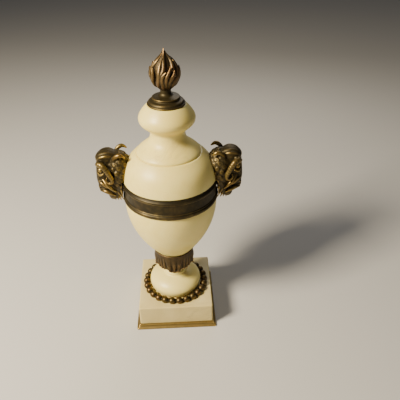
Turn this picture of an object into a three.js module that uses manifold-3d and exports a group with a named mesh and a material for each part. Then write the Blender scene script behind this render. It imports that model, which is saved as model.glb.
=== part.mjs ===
// A mantel urn in the Louis XVI manner: a covered vessel of white marble with gilt bronze mounts,
// on a bun-shaped foot and a square plinth. Millimetres, +Z up, origin at the middle of the underside.
import * as THREE from "three";
import { mergeVertices } from "three/addons/utils/BufferGeometryUtils.js";
import Module from "manifold-3d";

const wasm = await Module();
wasm.setup();

// Heights at which one piece ends and the next begins.
const PLATE_TOP = 5;
const PLINTH_TOP = 30;
const SOCLE_TOP = 66;
const FOOT_SEAT = 74.2; // the bowl's foot, inside the cup
const CUP_RIM = 87;
const BAND_FOOT = 154.7;
const SHOULDER_FOOT = 166;
const BAND_TOP = 177;
const LID_SEAT = 204;
const KNOP_TOP = 251.4;
const FLAME_FOOT = 263.6;
const FLAME_TOP = 301;

const GAP = 0.3; // room left between two nested pieces
const SIDES = 28; // facets round each turned piece

const PLATE_WIDTH = 90;
const PLINTH_WIDTH = 82;
const PLINTH_EDGE = 1.2; // rounding of its worn arrises

const PEARLS = 26;
const PEARL_CIRCLE = 33.5; // radius of the circle through their centres
const PEARL_RADIUS = 3.9;
const PEARL_LIFT = 2.9; // a pearl's centre over the plinth
const PEARL_STRETCH = 1.1; // along the ring

const COLLAR_RADIUS = 12.6; // of the socle, under the leaves
const STEM_RADIUS = 10.6;

const CUP_RADIUS = 22.1;
const CUP_WALL_FOOT = 76; // where the straight wall ends and the leaves bulge
const CUP_LEAVES = 4; // large ones, with a small one between each two
const LEAF_TIP = 59; // height of the large leaves' points
const LEAF_TIP_RADIUS = 14;
const SMALL_LEAF = 0.45; // how far a small leaf hangs, as a share of a large one
const LEAF_NOTCH = 66; // height of the notches between the leaves

const BOWL_RADIUS = 46.5; // of the vessel, just under the band
const JOINT_RADIUS = 43.9; // of both marble rims, inside the band
const BAND_RADIUS = 48;
const INNER_RADIUS = 37.5; // of the hollow inside the vessel
const INNER_FLOOR = 87;
const MOUTH_RADIUS = 20;
const MOUTH_DEPTH = 6.5;
const SPIGOT_DEPTH = 4; // of the lid, down into the mouth

const LID_RADIUS = 31;
const LID_NECK = 16.6;
const KNOP_RADIUS = 26.3;

const FINIAL_RADIUS = 17.6;
const FINIAL_NECK = 4.6;
const FLAME_RADIUS = 14;
const FLAME_TONGUES = 9;

// Finishes. The marble is polished and creamy, and the bronze keeps its gilding only where it is rubbed.
const marble = () =>
  new THREE.MeshStandardMaterial({ color: 0xe9e2cd, roughness: 0.28, metalness: 0 });
const gilt = () =>
  new THREE.MeshStandardMaterial({ color: 0x8d7138, roughness: 0.42, metalness: 1 });
const brass = () =>
  new THREE.MeshStandardMaterial({ color: 0xb8923f, roughness: 0.36, metalness: 1 });
const darkBronze = () =>
  new THREE.MeshStandardMaterial({ color: 0x4a3b22, roughness: 0.5, metalness: 1 });

// ---- Shapes ----

// A turned solid: a half section in (radius, height), spun about the vertical axis.
function turned(section, steps = 4, sides = SIDES) {
  return new THREE.LatheGeometry(section.getPoints(steps), sides).rotateX(Math.PI / 2);
}

// A square moulded solid: the same, with half widths in place of radii and four flat sides.
function squared(section, steps = 4) {
  const points = section.getPoints(steps).map((p) => new THREE.Vector2(p.x * Math.SQRT2, p.y));
  return new THREE.LatheGeometry(points, 4, Math.PI / 4).rotateX(Math.PI / 2);
}

// A closed solid wrapped round the vertical axis. Each row tells its radius and height at an angle,
// which is measured from the front, and the first and the last row lie on the axis.
function wrapped(rows, sides) {
  const positions = [];
  const index = [];
  for (const row of rows) {
    for (let k = 0; k < sides; k++) {
      const angle = (2 * Math.PI * k) / sides;
      const [r, z] = row(angle);
      positions.push(r * Math.sin(angle), -r * Math.cos(angle), z);
    }
  }
  for (let j = 0; j + 1 < rows.length; j++) {
    for (let k = 0; k < sides; k++) {
      const a = j * sides + k;
      const b = j * sides + ((k + 1) % sides);
      index.push(a, b, b + sides, a, b + sides, a + sides);
    }
  }
  const geometry = new THREE.BufferGeometry();
  geometry.setAttribute("position", new THREE.Float32BufferAttribute(positions, 3));
  return geometry.setIndex(index);
}

// An ellipsoid, tilted about Y and then set at its centre.
function blob(centre, radii, tilt = 0, around = 10, rows = 6) {
  return new THREE.SphereGeometry(1, around, rows)
    .rotateX(Math.PI / 2)
    .scale(...radii)
    .rotateY(tilt)
    .translate(...centre);
}

// A closed tube along a curve. Its radius follows a function of the share of the length,
// and its section is squeezed by the factor flat across the frame's binormal.
function taperedTube(curve, radius, steps, sides, flat = 1) {
  const frames = curve.computeFrenetFrames(steps, false);
  const positions = [];
  const index = [];
  for (let i = 0; i <= steps; i++) {
    const centre = curve.getPointAt(i / steps);
    const r = radius(i / steps);
    for (let k = 0; k < sides; k++) {
      const turn = (2 * Math.PI * k) / sides;
      const p = centre
        .clone()
        .addScaledVector(frames.normals[i], r * Math.cos(turn))
        .addScaledVector(frames.binormals[i], flat * r * Math.sin(turn));
      positions.push(p.x, p.y, p.z);
    }
  }
  const foot = positions.length / 3;
  positions.push(...curve.getPointAt(0).toArray(), ...curve.getPointAt(1).toArray());
  for (let k = 0; k < sides; k++) {
    const next = (k + 1) % sides;
    for (let i = 0; i < steps; i++) {
      const a = i * sides + k;
      const b = i * sides + next;
      index.push(a, b, b + sides, a, b + sides, a + sides);
    }
    index.push(foot, next, k, foot + 1, steps * sides + k, steps * sides + next);
  }
  const geometry = new THREE.BufferGeometry();
  geometry.setAttribute("position", new THREE.Float32BufferAttribute(positions, 3));
  return geometry.setIndex(index);
}

// ---- Joins and cuts ----

// A closed geometry as a solid that can be joined and cut.
function solid(geometry) {
  const bare = geometry.clone();
  bare.deleteAttribute("normal");
  bare.deleteAttribute("uv");
  const merged = mergeVertices(bare, 1e-3);
  return new wasm.Manifold(
    new wasm.Mesh({
      numProp: 3,
      vertProperties: merged.attributes.position.array,
      triVerts: new Uint32Array(merged.index.array),
    }),
  );
}

function joined(geometries) {
  return geometries.map(solid).reduce((whole, piece) => whole.add(piece));
}

// A solid back as a geometry.
function geometryOf(body) {
  const mesh = body.getMesh();
  const geometry = new THREE.BufferGeometry();
  geometry.setAttribute("position", new THREE.Float32BufferAttribute(mesh.vertProperties, 3));
  geometry.setIndex([...mesh.triVerts]);
  geometry.computeVertexNormals();
  return geometry;
}

// ---- The foot ----

function basePlate() {
  const half = PLATE_WIDTH / 2;
  const section = new THREE.Path()
    .moveTo(0, 0)
    .lineTo(half - 0.5, 0)
    .lineTo(half, 0.5)
    .lineTo(half, 1.7)
    .lineTo(half - 0.6, 2.3)
    .bezierCurveTo(half - 1.8, 2.5, half - 2.3, 3, half - 2.4, 4.2)
    .lineTo(half - 2.9, PLATE_TOP)
    .lineTo(0, PLATE_TOP);
  return squared(section);
}

function plinth() {
  const half = PLINTH_WIDTH / 2 - PLINTH_EDGE;
  const corner = PLINTH_EDGE;
  const outline = new THREE.Shape()
    .moveTo(half - corner, -half)
    .absarc(half - corner, corner - half, corner, -Math.PI / 2, 0)
    .absarc(half - corner, half - corner, corner, 0, Math.PI / 2)
    .absarc(corner - half, half - corner, corner, Math.PI / 2, Math.PI)
    .absarc(corner - half, corner - half, corner, Math.PI, 1.5 * Math.PI);
  return new THREE.ExtrudeGeometry(outline, {
    depth: PLINTH_TOP - PLATE_TOP - 2 * PLINTH_EDGE,
    bevelThickness: PLINTH_EDGE,
    bevelSize: PLINTH_EDGE,
    bevelSegments: 2,
    curveSegments: 1,
  }).translate(0, 0, PLATE_TOP + PLINTH_EDGE);
}

// Pearls with flattened undersides, drawn out a little so that each one joins the next.
function beadRing() {
  const sink = Math.asin(PEARL_LIFT / PEARL_RADIUS);
  const pearl = turned(
    new THREE.Path()
      .moveTo(0, 0)
      .lineTo(PEARL_RADIUS * Math.cos(sink), 0)
      .absarc(0, PEARL_LIFT, PEARL_RADIUS, -sink, Math.PI / 2),
    2,
    6,
  ).scale(1, PEARL_STRETCH, 1);
  const pieces = [];
  for (let i = 0; i < PEARLS; i++) {
    const place = (2 * Math.PI * i) / PEARLS;
    pieces.push(pearl.clone().translate(PEARL_CIRCLE, 0, 0).rotateZ(place));
  }
  return geometryOf(joined(pieces)).translate(0, 0, PLINTH_TOP);
}

function socle() {
  return turned(
    new THREE.Path()
      .moveTo(0, PLINTH_TOP)
      .lineTo(25.4, PLINTH_TOP)
      .bezierCurveTo(28, 32, 29, 35, 29, 38.4)
      .bezierCurveTo(29, 43.6, 23, 48.6, COLLAR_RADIUS + 0.6, 50.4)
      .lineTo(COLLAR_RADIUS, 51.4)
      .lineTo(COLLAR_RADIUS, 53.6)
      .lineTo(STEM_RADIUS, 55)
      .lineTo(STEM_RADIUS, SOCLE_TOP)
      .lineTo(0, SOCLE_TOP),
    4,
    24,
  );
}

// ---- The vessel ----

// The bowl's foot, down inside the leaf cup, grown outwards by a margin.
function footCurve(margin) {
  return new THREE.CubicBezierCurve(
    new THREE.Vector2(11 + margin, FOOT_SEAT - margin),
    new THREE.Vector2(12.5 + margin, 75.5 - margin),
    new THREE.Vector2(16.5 + margin, 81.5 - margin),
    new THREE.Vector2(21.4 + margin, 88.2 - margin),
  );
}

// How far the calyx hangs at an angle: 1 at a large leaf's point and 0 at the notches.
function leafReach(angle) {
  const step = (2 * Math.PI) / CUP_LEAVES;
  const across = Math.abs(angle / step - Math.round(angle / step)); // 0 to 0.5
  const large = Math.max(0, 1 - (across / 0.36) ** 1.3);
  const small = SMALL_LEAF * Math.max(0, 1 - ((0.5 - across) / 0.19) ** 2);
  return Math.max(large, small);
}

// The bulge of the calyx: the radius at a height, from the leaves' points up to the straight wall.
function calyxRadius(height) {
  const below = Math.max(0, (CUP_WALL_FOOT - height) / (CUP_WALL_FOOT - LEAF_TIP));
  return LEAF_TIP_RADIUS + (CUP_RADIUS - 0.8 - LEAF_TIP_RADIUS) * Math.sqrt(1 - below ** 1.6);
}

// A bronze cup whose lower edge hangs down in leaves with raised midribs.
function leafCup() {
  const rows = [() => [0, SOCLE_TOP], () => [STEM_RADIUS + 0.5, SOCLE_TOP]];
  rows.push(() => [STEM_RADIUS + 1, LEAF_NOTCH]);
  for (const share of [1, 0.75, 0.4, 0]) {
    rows.push((angle) => {
      const reach = leafReach(angle);
      const edge = LEAF_NOTCH + (LEAF_TIP - LEAF_NOTCH) * reach;
      const height = edge * share + (CUP_RIM - 4) * (1 - share);
      const relief = (1.5 * reach - 0.5) * Math.sin(Math.PI * (0.1 + 0.8 * share));
      return [calyxRadius(height) + relief, height];
    });
  }
  for (const [r, z] of [
    [CUP_RADIUS, CUP_RIM - 2.8],
    [CUP_RADIUS, CUP_RIM],
  ]) {
    rows.push(() => [r, z]);
  }
  for (const share of [0.9, 0.5, 0]) {
    const { x, y } = footCurve(2 * GAP).getPoint(share);
    rows.push(() => [x, y]);
  }
  rows.push(() => [0, FOOT_SEAT - GAP]);
  return wrapped(rows, 10 * CUP_LEAVES);
}

function bowl() {
  const section = new THREE.Path()
    .moveTo(0, FOOT_SEAT)
    .lineTo(11, FOOT_SEAT)
    .bezierCurveTo(12.5, 75.5, 16.5, 81.5, 21.4, 88.2)
    .bezierCurveTo(29.8, 98.9, 48.5, 124, BOWL_RADIUS, BAND_FOOT)
    .lineTo(JOINT_RADIUS, BAND_FOOT)
    .lineTo(JOINT_RADIUS, SHOULDER_FOOT)
    .lineTo(INNER_RADIUS, SHOULDER_FOOT)
    .lineTo(INNER_RADIUS, 150)
    .bezierCurveTo(INNER_RADIUS, 118, 20, INNER_FLOOR, 0, INNER_FLOOR);
  return turned(section);
}

// A hoop: a round moulding below, a flat frieze and a sloping moulding above.
function band() {
  const inner = JOINT_RADIUS + GAP;
  const frieze = BAND_RADIUS - 1.4;
  return turned(
    new THREE.Path()
      .moveTo(inner, BAND_FOOT)
      .lineTo(BAND_RADIUS - 1.2, BAND_FOOT)
      .bezierCurveTo(BAND_RADIUS + 0.4, 156, BAND_RADIUS + 0.4, 158, BAND_RADIUS - 0.6, 159.2)
      .lineTo(frieze, 159.6)
      .lineTo(frieze, 171.6)
      .lineTo(BAND_RADIUS - 0.4, 172.2)
      .lineTo(BAND_RADIUS - 0.4, 173.6)
      .lineTo(BAND_RADIUS - 2.2, BAND_TOP)
      .lineTo(inner, BAND_TOP)
      .closePath(),
    2,
  );
}

function shoulder() {
  const ceiling = LID_SEAT - MOUTH_DEPTH;
  return turned(
    new THREE.Path()
      .moveTo(JOINT_RADIUS, SHOULDER_FOOT)
      .lineTo(JOINT_RADIUS, BAND_TOP)
      .lineTo(46.2, BAND_TOP)
      .bezierCurveTo(44.9, 191, 41.2, 196.6, 32.2, LID_SEAT)
      .lineTo(MOUTH_RADIUS, LID_SEAT)
      .lineTo(MOUTH_RADIUS, ceiling)
      .bezierCurveTo(30, ceiling - 1, INNER_RADIUS, 190, INNER_RADIUS, 178)
      .lineTo(INNER_RADIUS, SHOULDER_FOOT)
      .closePath(),
  );
}

function lid() {
  return turned(
    new THREE.Path()
      .moveTo(0, LID_SEAT - SPIGOT_DEPTH)
      .lineTo(MOUTH_RADIUS - 0.5, LID_SEAT - SPIGOT_DEPTH)
      .lineTo(MOUTH_RADIUS - 0.5, LID_SEAT)
      .lineTo(LID_RADIUS - 0.4, LID_SEAT)
      .lineTo(LID_RADIUS, LID_SEAT + 0.8)
      .lineTo(LID_RADIUS - 0.3, 206)
      .bezierCurveTo(24.1, 213.3, LID_NECK, 213.9, LID_NECK, 224.2)
      .bezierCurveTo(LID_NECK, 230.1, KNOP_RADIUS, 231.4, KNOP_RADIUS, 238)
      .bezierCurveTo(27.4, 242.4, 18.9, 251, 17.8, KNOP_TOP)
      .lineTo(0, KNOP_TOP),
    4,
    24,
  );
}

// ---- The finial ----

function finialBase() {
  return turned(
    new THREE.Path()
      .moveTo(0, KNOP_TOP)
      .lineTo(FINIAL_RADIUS - 0.7, KNOP_TOP)
      .bezierCurveTo(FINIAL_RADIUS + 0.3, KNOP_TOP + 0.6, FINIAL_RADIUS + 0.3, 253, 16.6, 253.4)
      .lineTo(16.4, 254.1)
      .bezierCurveTo(15.4, 256.2, 13.6, 255.4, 12.4, 257)
      .lineTo(12.3, 258.6)
      .lineTo(10.6, 259.4)
      .bezierCurveTo(9, 260, 6.2, 260.6, FINIAL_NECK, FLAME_FOOT)
      .lineTo(0, FLAME_FOOT),
    3,
    16,
  );
}

// The outline of the whole flame: its radius at a share of its height.
function flameRadius(share) {
  const belly = Math.sin(Math.PI * Math.min(1, share * 1.06 + 0.18));
  return FLAME_RADIUS * Math.max(0.02, belly) ** 0.8;
}

// Tongues that rise from the neck round a fat core, lean over and end in points at unlike heights.
function flame() {
  const height = FLAME_TOP - FLAME_FOOT;
  const core = turned(
    new THREE.Path()
      .moveTo(0, 0)
      .lineTo(FINIAL_NECK, 0)
      .lineTo(FINIAL_NECK + 0.4, 1)
      .bezierCurveTo(9.6, 2, 11.6, 7, 11.4, 14)
      .bezierCurveTo(11, 21, 3.4, 26, 1.2, height * 0.86)
      .lineTo(0, height * 0.87),
    3,
    8,
  );
  const pieces = [core];
  const tips = [1, 0.62, 0.76, 0.6, 0.72, 0.64, 0.7, 0.58, 0.74];
  for (let i = 0; i < FLAME_TONGUES; i++) {
    const start = (2 * Math.PI * i) / FLAME_TONGUES - Math.PI / 2;
    const top = tips[i];
    const points = [0.09, 0.2, 0.4, 0.6, 0.8, 1].map((share) => {
      const turn = start + 0.5 * share;
      const lean = i === 0 ? 1 - share ** 2 : 1 - 0.25 * share ** 3;
      const r = (flameRadius(share * top) - 2.6) * lean;
      return new THREE.Vector3(r * Math.cos(turn), r * Math.sin(turn), height * top * share);
    });
    const thickness = (share) => 2.9 * Math.sin(Math.PI * (0.18 + 0.8 * share)) + 0.15;
    pieces.push(taperedTube(new THREE.CatmullRomCurve3(points), thickness, 5, 5));
  }
  return geometryOf(joined(pieces)).translate(0, 0, FLAME_FOOT);
}

// ---- The ram's heads ----

// The outside of the vessel from the bowl to the lid's seat, grown sideways by a margin.
function vesselSkin(margin) {
  return turned(
    new THREE.Path()
      .moveTo(0, 130)
      .lineTo(44 + margin, 130)
      .lineTo(BOWL_RADIUS + margin, BAND_FOOT - margin)
      .lineTo(BAND_RADIUS + margin, BAND_FOOT - margin)
      .lineTo(BAND_RADIUS + margin, 173.6)
      .lineTo(46.2 + margin, BAND_TOP)
      .bezierCurveTo(44.9 + margin, 191, 41.2 + margin, 196.6, 32.2 + margin, LID_SEAT + margin)
      .lineTo(LID_RADIUS + margin, LID_SEAT + margin)
      .lineTo(LID_RADIUS + margin, 206)
      .bezierCurveTo(24.1 + margin, 213.3, LID_NECK + margin, 213.9, LID_NECK + margin, 224.2)
      .lineTo(0, 224.2),
  );
}

// A horn: it springs from the crown, sweeps back and down past the cheek and curls forward to its point.
function horn(side) {
  const route = [
    [63, 5, 200.5],
    [64.4, 10.5, 198.5],
    [61, 15, 194.5],
    [56.4, 16.8, 186.5],
    [53.6, 17.2, 177.5],
    [54.4, 17.2, 169.8],
    [59, 16.8, 166],
    [64, 16, 168],
    [66, 16.4, 172.6],
  ].map(([x, y, z]) => new THREE.Vector3(x, side * y, z));
  const thickness = (share) => 4.6 - 3.7 * share ** 1.4;
  return taperedTube(new THREE.CatmullRomCurve3(route), thickness, 11, 5);
}

// An ear: a pointed leaf that lies back and up from behind the horn.
function ear(side) {
  const route = [
    [54, 8.5, 195],
    [48.6, 12.4, 200],
    [42.6, 14.6, 206.6],
  ].map(([x, y, z]) => new THREE.Vector3(x, side * y, z));
  const thickness = (share) => 3.6 * Math.sin(Math.PI * (0.25 + 0.74 * share)) + 0.1;
  return taperedTube(new THREE.CatmullRomCurve3(route), thickness, 4, 5, 0.55);
}

// The head that looks along +X. Its back follows the vessel.
function ramHead() {
  const pieces = [
    blob([49, 0, 183], [13, 15, 21]), // woolly neck
    blob([60, 0, 190], [11, 10.5, 15], -0.06), // skull
    blob([60.2, 0, 200.6], [10.2, 9.4, 7], 0.1), // smooth crown
    blob([65.6, 0, 177.5], [6.9, 6.4, 14.5], -0.05), // nose and muzzle
    blob([62.4, 0, 167], [8.6, 5.6, 6.6], 0.5), // lips and chin
    blob([53.6, 0, 161], [7.4, 8, 13.4], -0.45), // beard and wool of the throat
  ];
  for (const side of [-1, 1]) {
    pieces.push(horn(side), ear(side));
    pieces.push(blob([66.4, side * 7, 188.6], [2.6, 2.4, 2.6], 0, 6, 4)); // eye
  }
  return geometryOf(joined(pieces).subtract(solid(vesselSkin(GAP + 0.15))));
}

// ---- The whole ----

const group = new THREE.Group();
group.name = "mantel_urn";

function place(name, geometry, material, turn = 0) {
  const mesh = new THREE.Mesh(geometry, material);
  mesh.name = name;
  mesh.rotation.z = turn;
  group.add(mesh);
}

place("base_plate", basePlate(), brass());
place("plinth", plinth(), marble());
place("bead_ring", beadRing(), gilt(), -Math.PI / 2);
place("socle", socle(), marble());
place("leaf_cup", leafCup(), gilt());
place("bowl", bowl(), marble());
place("band", band(), darkBronze());
place("shoulder", shoulder(), marble());
place("lid", lid(), marble());
place("finial_base", finialBase(), gilt());
place("flame", flame(), gilt());

const head = ramHead();
place("ram_head_right", head, gilt());
place("ram_head_left", head, gilt(), Math.PI);

export default group;
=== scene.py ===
"""A mantel urn of white marble and gilt bronze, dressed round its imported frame.

Sizes in the classes are millimetres, and `raise_piece` turns them into metres. The heights and the
main radii come from the frame's own boxes, and the other numbers give the forms between them.
"""
import logging
import math
from dataclasses import dataclass, field
from enum import Enum
from typing import Any, Callable, Protocol, Sequence

import bpy
import numpy as np
from mathutils import Matrix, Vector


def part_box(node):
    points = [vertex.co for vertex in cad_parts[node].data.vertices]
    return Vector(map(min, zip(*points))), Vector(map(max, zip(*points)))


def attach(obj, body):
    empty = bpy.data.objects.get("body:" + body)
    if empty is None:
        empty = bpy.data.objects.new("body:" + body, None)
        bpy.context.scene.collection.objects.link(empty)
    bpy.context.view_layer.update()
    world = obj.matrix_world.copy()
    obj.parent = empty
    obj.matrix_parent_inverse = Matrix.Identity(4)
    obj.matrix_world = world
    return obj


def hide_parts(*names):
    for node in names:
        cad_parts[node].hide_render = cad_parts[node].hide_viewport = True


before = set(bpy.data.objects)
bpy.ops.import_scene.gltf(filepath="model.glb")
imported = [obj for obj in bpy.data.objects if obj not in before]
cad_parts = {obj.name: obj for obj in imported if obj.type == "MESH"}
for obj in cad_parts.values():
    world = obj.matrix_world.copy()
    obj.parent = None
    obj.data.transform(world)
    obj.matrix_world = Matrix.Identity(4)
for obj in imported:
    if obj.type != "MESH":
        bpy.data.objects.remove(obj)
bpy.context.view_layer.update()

Array = np.ndarray
Point = tuple[float, float, float]
Colour = tuple[float, float, float]
Socket = bpy.types.NodeSocket
MM = 0.001
TAU = 2.0 * math.pi
BODY = "root"
GOLDEN_TURN = math.pi * (3 - math.sqrt(5))
FAR = 50.0  # the distance that stands for empty space in a carving
ROOM_MARGIN = 3.0  # how far past its own box a form still bends its neighbours
NUDGE = 0.04  # the step that a slope is measured over
RELIEF_ROOM = 2.0  # the room kept round a ball for its relief and its join
STRAND_ROOM = 1.5  # the room kept round a strand for its rings and its join
LEAST_STRAND = 0.12  # the least thickness of a strand, at its tip
SHARP_ANGLE = math.radians(40.0)  # the angle over which an edge is drawn sharp
log = logging.getLogger("mantel_urn")


class Side(Enum):
    """Which side of the vessel a head is on: the sign of its X."""

    RIGHT = 1
    LEFT = -1


# ---- Measuring the frame ----


@dataclass(frozen=True)
class Span:
    """The heights and the reach along +X of one solid of the frame, in millimetres."""

    foot: float
    top: float
    reach: float

    @classmethod
    def of(cls, node: str) -> "Span":
        """Reads the box of the solid that a node names."""
        low, high = (np.array(corner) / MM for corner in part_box(node))
        return cls(float(low[2]), float(high[2]), float(high[0]))


def measured(node: str) -> Any:
    """A dataclass field that is measured from a node's box when its owner is made."""
    return field(default_factory=lambda: Span.of(node))


# ---- Surfaces ----


@dataclass
class Shell:
    """A closed surface: points, four-sided faces and three-sided faces."""

    points: Array
    quads: Array
    tris: Array = field(default_factory=lambda: np.zeros((0, 3), int))

    def turned_about_z(self, angle: float) -> "Shell":
        """Turns the surface about the vertical axis.

        Args:
            angle: The turn, in radians.

        Returns:
            The turned surface.
        """
        c, s = math.cos(angle), math.sin(angle)
        turn = np.array([[c, -s, 0.0], [s, c, 0.0], [0.0, 0.0, 1.0]])
        return Shell(self.points @ turn.T, self.quads, self.tris)

    def edges(self) -> Array:
        """Each side of each face, as pairs of point numbers."""
        runs = [self.quads[:, [i, (i + 1) % 4]] for i in range(4)]
        runs += [self.tris[:, [i, (i + 1) % 3]] for i in range(3)]
        return np.vstack(runs)

    def normals(self) -> Array:
        """Area-weighted normals at the points, from the faces' diagonals and sides.

        Returns:
            The normal at each point, one long.
        """
        p = self.points
        q, t = self.quads, self.tris
        faces = [(q, np.cross(p[q[:, 2]] - p[q[:, 0]], p[q[:, 3]] - p[q[:, 1]]))]
        faces.append((t, np.cross(p[t[:, 1]] - p[t[:, 0]], p[t[:, 2]] - p[t[:, 0]])))
        total = np.zeros_like(p)
        for corners, across in faces:
            for k in range(corners.shape[1]):
                for axis in range(3):
                    total[:, axis] += np.bincount(corners[:, k], across[:, axis], len(p))
        return total / np.maximum(np.linalg.norm(total, axis=1, keepdims=True), 1e-9)

    def rubbed(self, rounds: int, depth: float) -> Array:
        """How proud each point stands of its neighbourhood, which says where hands rub and where
        the hollows get grime and painted shade.

        The points are averaged with their neighbours a number of times. The height of each point
        over its averaged place, along the normal, is divided by a depth.

        Args:
            rounds: How often the places are averaged, which sets the width of the neighbourhood.
            depth: The height in millimetres that counts as fully proud.

        Returns:
            0 in a hollow, 0.5 on a plain surface and 1 on a ridge, at each point.
        """
        pairs = self.edges()
        count = np.bincount(pairs.ravel(), minlength=len(self.points)).astype(float)[:, None]
        soft = self.points.copy()
        for _ in range(rounds):
            total = np.empty_like(soft)
            for axis in range(3):
                values = soft[:, axis]
                total[:, axis] = np.bincount(pairs[:, 0], values[pairs[:, 1]], len(soft))
                total[:, axis] += np.bincount(pairs[:, 1], values[pairs[:, 0]], len(soft))
            soft = 0.3 * soft + 0.7 * total / count
        proud = np.einsum("ij,ij->i", self.normals(), self.points - soft)
        return 0.5 + 0.5 * np.clip(proud / depth, -1.0, 1.0)


class Outline:
    """A half section in (radius, height), drawn as runs and bends, with its corners eased."""

    def __init__(self, radius: float, height: float) -> None:
        """Starts at a point."""
        self.points: list[Array] = [np.array([[radius, height]], float)]
        self.corners: list[tuple[float, float, float]] = []

    def _here(self) -> Array:
        """The last point drawn."""
        return self.points[-1][-1]

    def line(self, radius: float, height: float, ease: float = 0.0) -> "Outline":
        """Draws a straight run.

        Args:
            radius: Where it ends.
            height: Where it ends.
            ease: How far the corner at its end is rounded off.

        Returns:
            The outline itself.
        """
        share = np.linspace(0, 1, 9)[1:, None]
        self.points.append(self._here() * (1 - share) + np.array([radius, height]) * share)
        if ease:
            self.corners.append((radius, height, ease))
        return self

    def bend(self, *controls: tuple[float, float], steps: int = 28, ease: float = 0.0) -> "Outline":
        """Draws a cubic bend: its four points weighted by (1-t)^3, 3t(1-t)^2, 3t^2(1-t) and t^3.

        Args:
            controls: The two points that it is drawn towards, and its end.
            steps: How many points it takes.
            ease: How far the corner at its end is rounded off.

        Returns:
            The outline itself.
        """
        t = np.linspace(0, 1, steps + 1)[1:, None]
        a, (b, c, d) = self._here(), np.array(controls, float)
        self.points.append(
            (1 - t) ** 3 * a + 3 * t * (1 - t) ** 2 * b + 3 * t**2 * (1 - t) * c + t**3 * d
        )
        if ease:
            self.corners.append((float(d[0]), float(d[1]), ease))
        return self

    def drawn(self) -> Array:
        """The whole outline as points, with each eased corner replaced by a square bend.

        Returns:
            Its points, as rows of radius and height.
        """
        path = np.vstack(self.points)
        for radius, height, ease in self.corners:
            away = np.hypot(path[:, 0] - radius, path[:, 1] - height)
            at = int(np.argmin(away))
            length = np.concatenate([[0.0], np.cumsum(np.hypot(*np.diff(path, axis=0).T))])
            near = np.abs(length - length[at]) < ease
            low = max(length[at] - ease, length[0])
            high = min(length[at] + ease, length[-1])
            before = np.array([np.interp(low, length, path[:, k]) for k in (0, 1)])
            after = np.array([np.interp(high, length, path[:, k]) for k in (0, 1)])
            t = np.linspace(0, 1, 7)[:, None]
            bend = (1 - t) ** 2 * before + 2 * t * (1 - t) * path[at] + t**2 * after
            first, last = np.flatnonzero(near)[[0, -1]]
            path = np.vstack([path[:first], bend, path[last + 1 :]])
        keep = np.concatenate([[True], np.hypot(*np.diff(path, axis=0).T) > 1e-4])
        return path[keep]


def swept_rows(rings: Array, wrap: bool) -> Shell:
    """Closes a stack of rings into a surface.

    Args:
        rings: Points by ring, place in the ring and axis. Where the stack doesn't wrap, the first
            and the last ring have shrunk to a point.
        wrap: Whether the last ring joins the first one.

    Returns:
        The closed surface, with one point for each pole.
    """
    rows, sides = rings.shape[:2]
    here = np.arange(sides)
    ahead = np.roll(here, -1)
    if wrap:
        j = np.arange(rows)[:, None]
        low, high = j * sides, ((j + 1) % rows) * sides
        quads = np.stack([low + here, low + ahead, high + ahead, high + here], -1)
        return Shell(rings.reshape(-1, 3), quads.reshape(-1, 4))
    body = rings[1:-1].reshape(-1, 3)
    points = np.vstack([body, rings[0, :1], rings[-1, :1]])
    j = np.arange(rows - 3)[:, None] * sides
    quads = np.stack([j + here, j + ahead, j + sides + ahead, j + sides + here], -1)
    foot, top, last = len(body), len(body) + 1, (rows - 3) * sides
    tris = np.vstack(
        [
            np.stack([np.full(sides, foot), ahead, here], -1),
            np.stack([np.full(sides, top), last + here, last + ahead], -1),
        ]
    )
    return Shell(points, quads.reshape(-1, 4), tris)


def turned(path: Array, sides: int, wrap: bool = False) -> Shell:
    """Spins a half section about the vertical axis: x = r cos a, y = r sin a, z = h.

    Args:
        path: The half section, going up the outside, from axis to axis unless it wraps.
        sides: How many steps it takes round.
        wrap: Whether the section closes on itself.

    Returns:
        The turned solid's surface.
    """
    angle = np.linspace(0, TAU, sides, endpoint=False)
    r, z = path[:, :1], np.repeat(path[:, 1:], sides, 1)
    return swept_rows(np.stack([r * np.cos(angle), r * np.sin(angle), z], -1), wrap)


def squared(path: Array, corner: float, along: int = 24, round_steps: int = 8) -> Shell:
    """Carries a half section round a square with rounded corners.

    Each place on the square is a point of the corner circle, pushed out to the corner's centre.
    Between two corners the centre slides along the side. The corner shrinks near the axis.

    Args:
        path: The half section in (half width, height), which starts and ends on the axis.
        corner: The radius of the corners.
        along: How many steps a side takes.
        round_steps: How many steps a corner takes.

    Returns:
        The moulded square solid's surface.
    """
    centres, ways = [], []
    for k in range(4):
        at = math.pi / 4 + k * math.pi / 2
        sweep = at + np.linspace(-math.pi / 4, math.pi / 4, round_steps + 1)
        here = np.sign([math.cos(at), math.sin(at)])
        after = np.sign([math.cos(at + math.pi / 2), math.sin(at + math.pi / 2)])
        slide = np.linspace(0, 1, along + 1)[1:-1, None]
        centres += [np.repeat(here[None], round_steps + 1, 0), here + (after - here) * slide]
        ways.append(np.stack([np.cos(sweep), np.sin(sweep)], -1))
        ways.append(np.repeat(ways[-1][-1:], along - 1, 0))
    centre, way = np.vstack(centres), np.vstack(ways)
    half = path[:, 0][:, None, None]
    bend = np.minimum(corner, half)
    flat = centre * (half - bend) + way * bend
    height = np.repeat(path[:, 1][:, None, None], len(centre), 1)
    return swept_rows(np.concatenate([flat, height], -1), False)


# ---- Carved forms ----


class Form(Protocol):
    """A form in a carving: a distance to its surface, its room and how it joins the rest."""

    ease: float
    cut: bool

    def distance(self, places: Array) -> Array:
        """The distance from each place to the surface, negative inside."""
        ...

    def room(self) -> tuple[Array, Array]:
        """The lowest and highest corner of the form."""
        ...


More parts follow.
